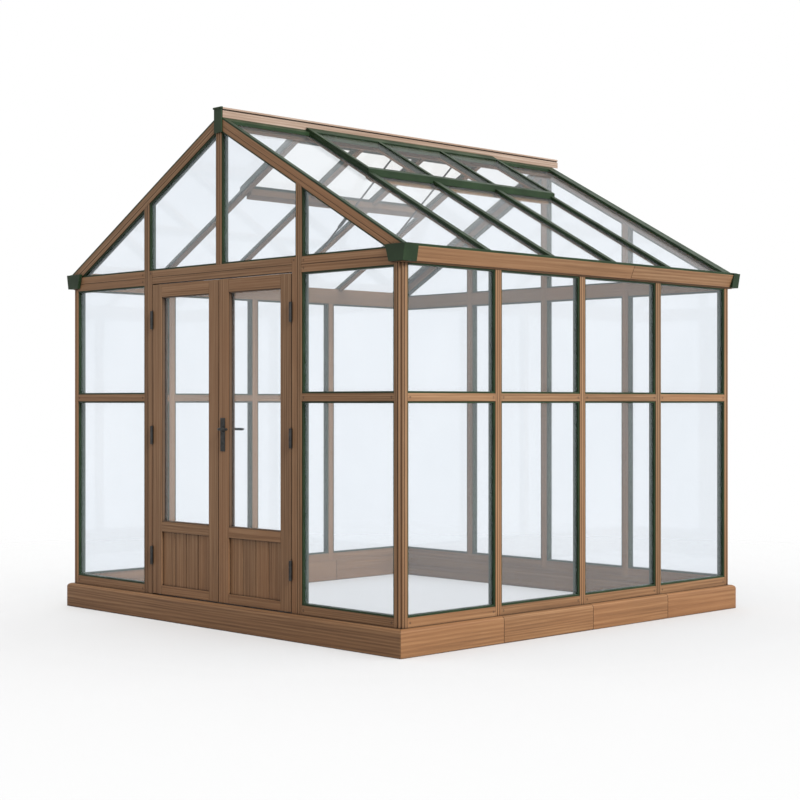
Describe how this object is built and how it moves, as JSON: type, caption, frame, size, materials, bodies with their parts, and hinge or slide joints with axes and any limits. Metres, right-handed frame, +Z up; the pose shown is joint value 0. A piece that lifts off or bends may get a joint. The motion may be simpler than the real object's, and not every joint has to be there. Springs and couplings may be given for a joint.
{
  "type": "greenhouse",
  "caption": "Timber-framed glass greenhouse on a low plinth, with a glazed gable roof, two ridge vents and a pair of hinged half-glazed front doors.",
  "frame": {"origin": "centre of the footprint, on the ground", "axes": "+X across the gables to the right as seen from the doors, +Y from the door gable to the back gable, +Z up"},
  "size_m": [3.08, 2.99, 2.9818],
  "materials": {
    "cedar": "oiled red-brown cedar, lengthwise grain",
    "green_bar": "dark green powder coat",
    "clear_glass": "clear 4 mm horticultural glass, faint grey-green tint",
    "black_iron": "satin black ironmongery"
  },
  "bodies": {
    "house": {"plinth_ends": "cedar", "plinth_sides": "cedar", "corner_posts": "cedar", "wall_posts": "cedar", "door_posts": "cedar", "door_liners": "cedar", "front_rails": "cedar", "door_head": "cedar", "king_posts": "cedar", "back_posts": "cedar", "back_rails": "cedar", "side_rails": "cedar", "eaves_beams": "cedar", "eaves_strips": "green_bar", "eaves_caps": "green_bar", "gable_rafters": "cedar", "ridge_board": "cedar", "ridge_cap": "cedar", "ridge_flashing": "green_bar", "ridge_block": "green_bar", "roof_rafters": "cedar", "glazing_bars": "green_bar", "vent_frames": "green_bar", "vent_glass": "clear_glass", "vent_trimmers": "cedar", "vent_stays": "black_iron", "beads_front": "green_bar", "beads_back": "green_bar", "beads_sides": "green_bar", "glass_front": "clear_glass", "glass_back": "clear_glass", "glass_sides": "clear_glass", "glass_roof": "clear_glass", "jamb_hinges": "black_iron"},
    "door_left": {"door_left_frame": "cedar", "door_left_panel": "cedar", "door_left_glass": "clear_glass", "door_left_bead": "green_bar", "door_astragal": "cedar", "door_left_hinges": "black_iron"},
    "door_right": {"door_right_frame": "cedar", "door_right_panel": "cedar", "door_right_glass": "clear_glass", "door_right_bead": "green_bar", "door_right_hinges": "black_iron", "handle_plates": "black_iron"},
    "lever": {"lever_handle": "black_iron"}
  },
  "joints": [
    {"name": "door_left_hinge", "type": "hinge", "parent": "house", "child": "door_left", "pos_m": [-0.639, -1.453, 1.1], "axis": [0, 0, -1], "range_deg": [0, 165]},
    {"name": "door_right_hinge", "type": "hinge", "parent": "house", "child": "door_right", "pos_m": [0.639, -1.453, 1.1], "axis": [0, 0, 1], "range_deg": [0, 165]},
    {"name": "lever_turn", "type": "hinge", "parent": "door_right", "child": "lever", "pos_m": [0.0395, -1.453, 1.142], "axis": [0, 1, 0], "range_deg": [0, 35]}
  ]
}
